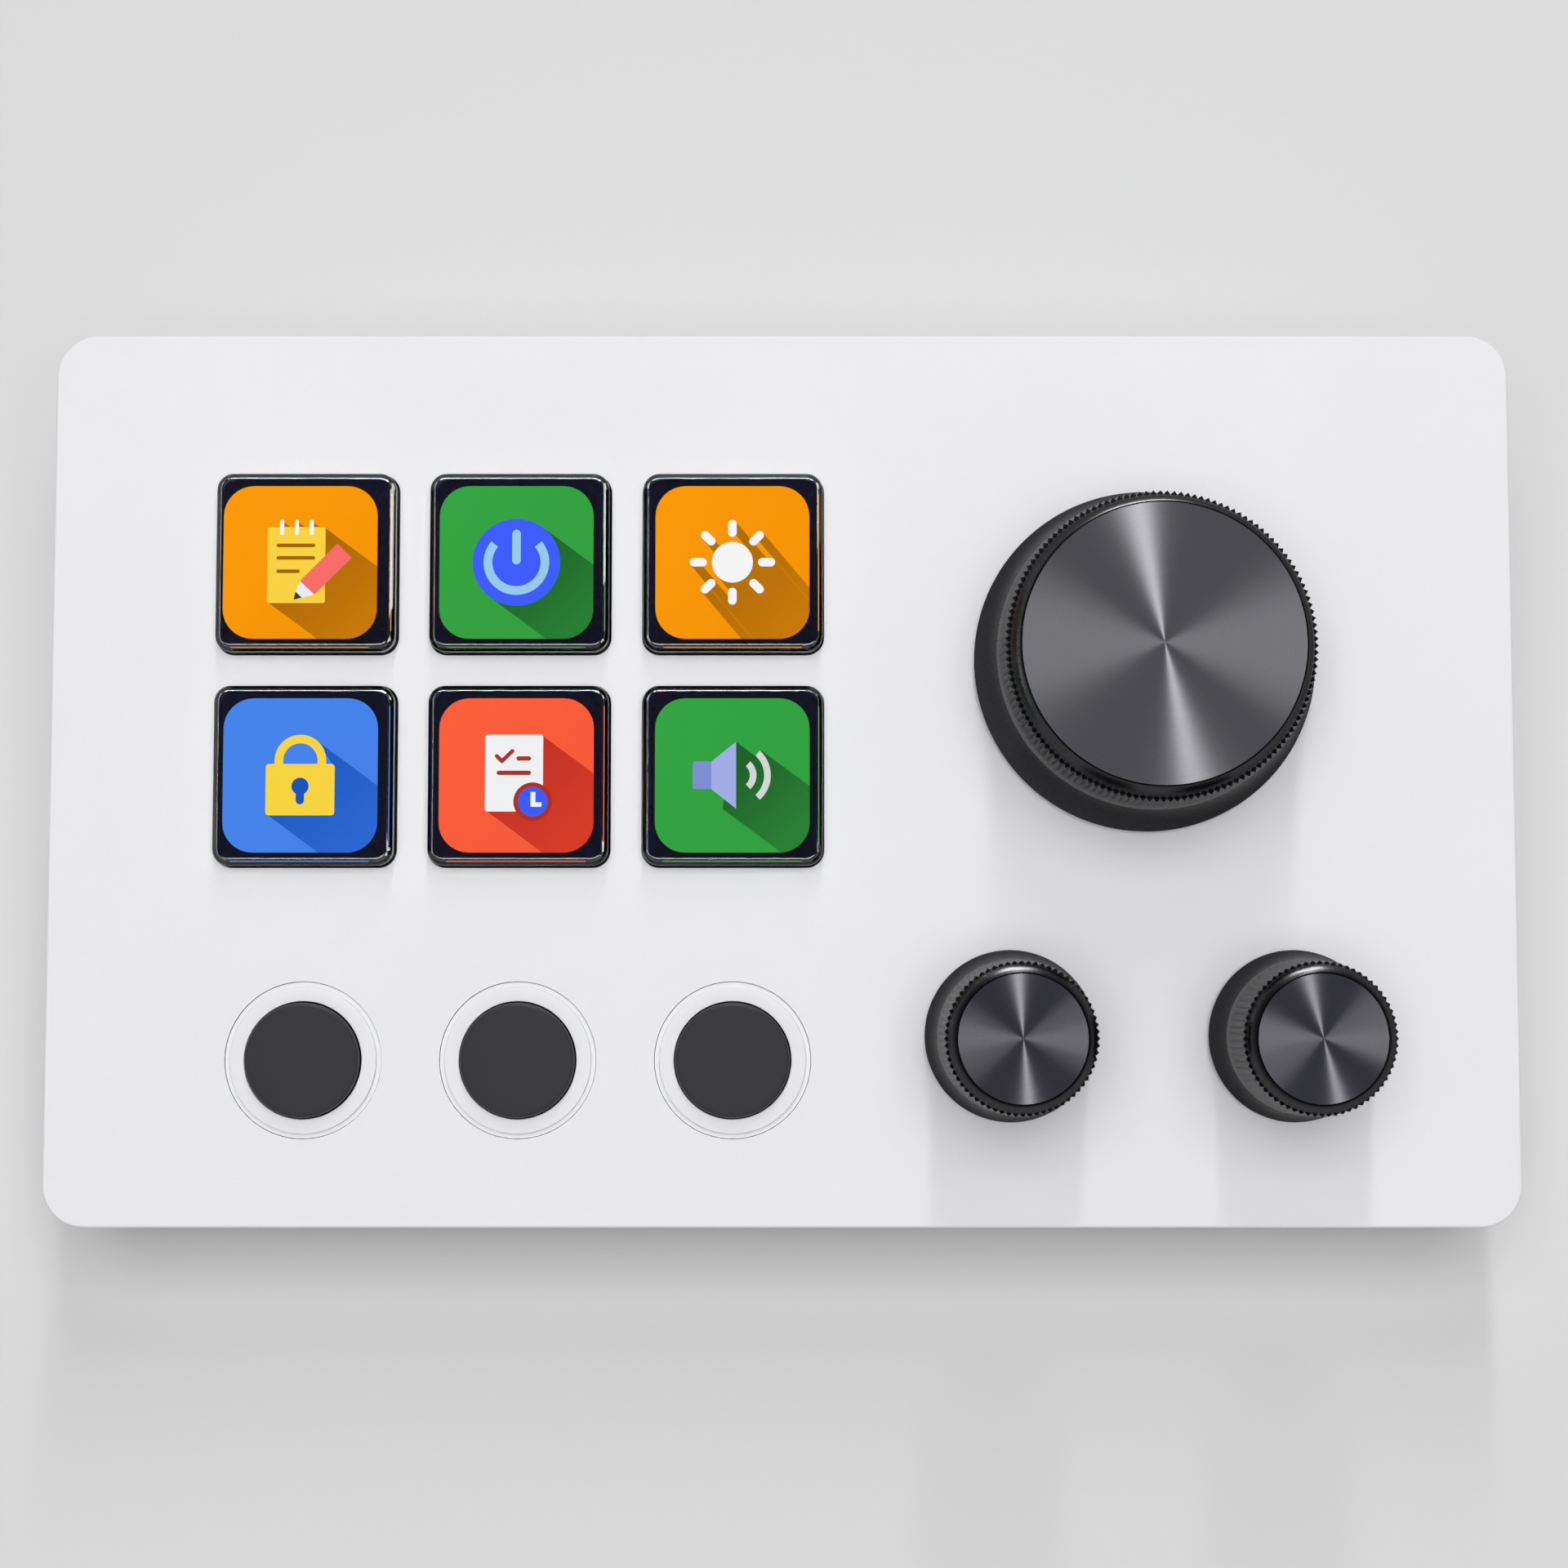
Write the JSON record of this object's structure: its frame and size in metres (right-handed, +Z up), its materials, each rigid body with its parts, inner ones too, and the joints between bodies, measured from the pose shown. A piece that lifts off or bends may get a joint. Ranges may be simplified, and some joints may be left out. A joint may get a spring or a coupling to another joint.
{
  "type": "desk keypad",
  "caption": "Desk keypad on a wedge-shaped white case, with display keys under clear caps, round push buttons and knurled push-turn knobs with spun metal faces.",
  "frame": {"origin": "centre of the footprint, on the desk under the feet", "axes": "+X to the right along the long side, +Y to the rear where the case is higher and the USB socket is, +Z up"},
  "size_m": [0.134, 0.0865, 0.0436],
  "materials": {
    "white_shell": "fine satin moulded white plastic",
    "clear_cap": "clear polished plastic",
    "display_glass": "dark glass over a small colour display",
    "frame_black": "dark navy moulded plastic",
    "button_black": "satin black plastic",
    "knob_black": "satin black anodised look",
    "spun_disc": "spun dark aluminium with concentric lines",
    "encoder_metal": "plated steel",
    "rotor_white": "natural nylon",
    "switch_black": "black moulded plastic",
    "board_mask": "green solder mask",
    "chip_black": "black epoxy",
    "socket_steel": "drawn nickel-plated steel",
    "screw_steel": "zinc-plated steel",
    "foot_rubber": "matt black rubber"
  },
  "bodies": {
    "housing": {"top_plate": "white_shell", "lower_housing": "white_shell", "case_screws": "screw_steel", "main_board": "board_mask", "board_screws": "screw_steel", "controller_chip": "chip_black", "usb_socket": "socket_steel", "usb_tongue": "chip_black", "key_frame": "frame_black", "key_switches": "switch_black", "foot_front_left": "foot_rubber", "foot_front_right": "foot_rubber", "foot_rear_left": "foot_rubber", "foot_rear_right": "foot_rubber", "button_surround_1": "white_shell", "button_switch_1": "switch_black", "button_surround_2": "white_shell", "button_switch_2": "switch_black", "button_surround_3": "white_shell", "button_switch_3": "switch_black", "encoder_base_large": "switch_black", "encoder_cover_large": "encoder_metal", "encoder_base_left": "switch_black", "encoder_cover_left": "encoder_metal", "encoder_base_right": "switch_black", "encoder_cover_right": "encoder_metal"},
    "key_1": {"key_cap_1": "clear_cap", "key_display_1": "display_glass", "key_carrier_1": "frame_black"},
    "key_2": {"key_cap_2": "clear_cap", "key_display_2": "display_glass", "key_carrier_2": "frame_black"},
    "key_3": {"key_cap_3": "clear_cap", "key_display_3": "display_glass", "key_carrier_3": "frame_black"},
    "key_4": {"key_cap_4": "clear_cap", "key_display_4": "display_glass", "key_carrier_4": "frame_black"},
    "key_5": {"key_cap_5": "clear_cap", "key_display_5": "display_glass", "key_carrier_5": "frame_black"},
    "key_6": {"key_cap_6": "clear_cap", "key_display_6": "display_glass", "key_carrier_6": "frame_black"},
    "button_1": {"button_cap_1": "button_black"},
    "button_2": {"button_cap_2": "button_black"},
    "button_3": {"button_cap_3": "button_black"},
    "rotor_large": {"encoder_rotor_large": "rotor_white"},
    "knob_large": {"encoder_shaft_large": "encoder_metal", "knob_body_large": "knob_black", "knob_disc_large": "spun_disc"},
    "rotor_left": {"encoder_rotor_left": "rotor_white"},
    "knob_left": {"encoder_shaft_left": "encoder_metal", "knob_body_left": "knob_black", "knob_disc_left": "spun_disc"},
    "rotor_right": {"encoder_rotor_right": "rotor_white"},
    "knob_right": {"encoder_shaft_right": "encoder_metal", "knob_body_right": "knob_black", "knob_disc_right": "spun_disc"}
  },
  "joints": [
    {"name": "key_1_press", "type": "slide", "parent": "housing", "child": "key_1", "axis": [0, 0.2079, -0.9781], "range_m": [0, 0.0012], "stiffness_N_per_m": 350, "springref_m": -0.001},
    {"name": "key_2_press", "type": "slide", "parent": "housing", "child": "key_2", "axis": [0, 0.2079, -0.9781], "range_m": [0, 0.0012], "stiffness_N_per_m": 350, "springref_m": -0.001},
    {"name": "key_3_press", "type": "slide", "parent": "housing", "child": "key_3", "axis": [0, 0.2079, -0.9781], "range_m": [0, 0.0012], "stiffness_N_per_m": 350, "springref_m": -0.001},
    {"name": "key_4_press", "type": "slide", "parent": "housing", "child": "key_4", "axis": [0, 0.2079, -0.9781], "range_m": [0, 0.0012], "stiffness_N_per_m": 350, "springref_m": -0.001},
    {"name": "key_5_press", "type": "slide", "parent": "housing", "child": "key_5", "axis": [0, 0.2079, -0.9781], "range_m": [0, 0.0012], "stiffness_N_per_m": 350, "springref_m": -0.001},
    {"name": "key_6_press", "type": "slide", "parent": "housing", "child": "key_6", "axis": [0, 0.2079, -0.9781], "range_m": [0, 0.0012], "stiffness_N_per_m": 350, "springref_m": -0.001},
    {"name": "button_1_press", "type": "slide", "parent": "housing", "child": "button_1", "axis": [0, 0.2079, -0.9781], "range_m": [0, 0.0006], "stiffness_N_per_m": 900, "springref_m": -0.0008},
    {"name": "button_2_press", "type": "slide", "parent": "housing", "child": "button_2", "axis": [0, 0.2079, -0.9781], "range_m": [0, 0.0006], "stiffness_N_per_m": 900, "springref_m": -0.0008},
    {"name": "button_3_press", "type": "slide", "parent": "housing", "child": "button_3", "axis": [0, 0.2079, -0.9781], "range_m": [0, 0.0006], "stiffness_N_per_m": 900, "springref_m": -0.0008},
    {"name": "large_knob_turn", "type": "hinge", "parent": "housing", "child": "rotor_large", "pos_m": [0.0331, 0.0069, 0.02657], "axis": [0, -0.2079, 0.9781], "continuous": true},
    {"name": "large_knob_press", "type": "slide", "parent": "rotor_large", "child": "knob_large", "axis": [0, 0.2079, -0.9781], "range_m": [0, 0.0005], "stiffness_N_per_m": 2500, "springref_m": -0.001},
    {"name": "left_knob_turn", "type": "hinge", "parent": "housing", "child": "rotor_left", "pos_m": [0.02064, -0.02645, 0.01948], "axis": [0, -0.2079, 0.9781], "continuous": true},
    {"name": "left_knob_press", "type": "slide", "parent": "rotor_left", "child": "knob_left", "axis": [0, 0.2079, -0.9781], "range_m": [0, 0.0005], "stiffness_N_per_m": 2500, "springref_m": -0.001},
    {"name": "right_knob_turn", "type": "hinge", "parent": "housing", "child": "rotor_right", "pos_m": [0.04632, -0.02645, 0.01948], "axis": [0, -0.2079, 0.9781], "continuous": true},
    {"name": "right_knob_press", "type": "slide", "parent": "rotor_right", "child": "knob_right", "axis": [0, 0.2079, -0.9781], "range_m": [0, 0.0005], "stiffness_N_per_m": 2500, "springref_m": -0.001}
  ]
}
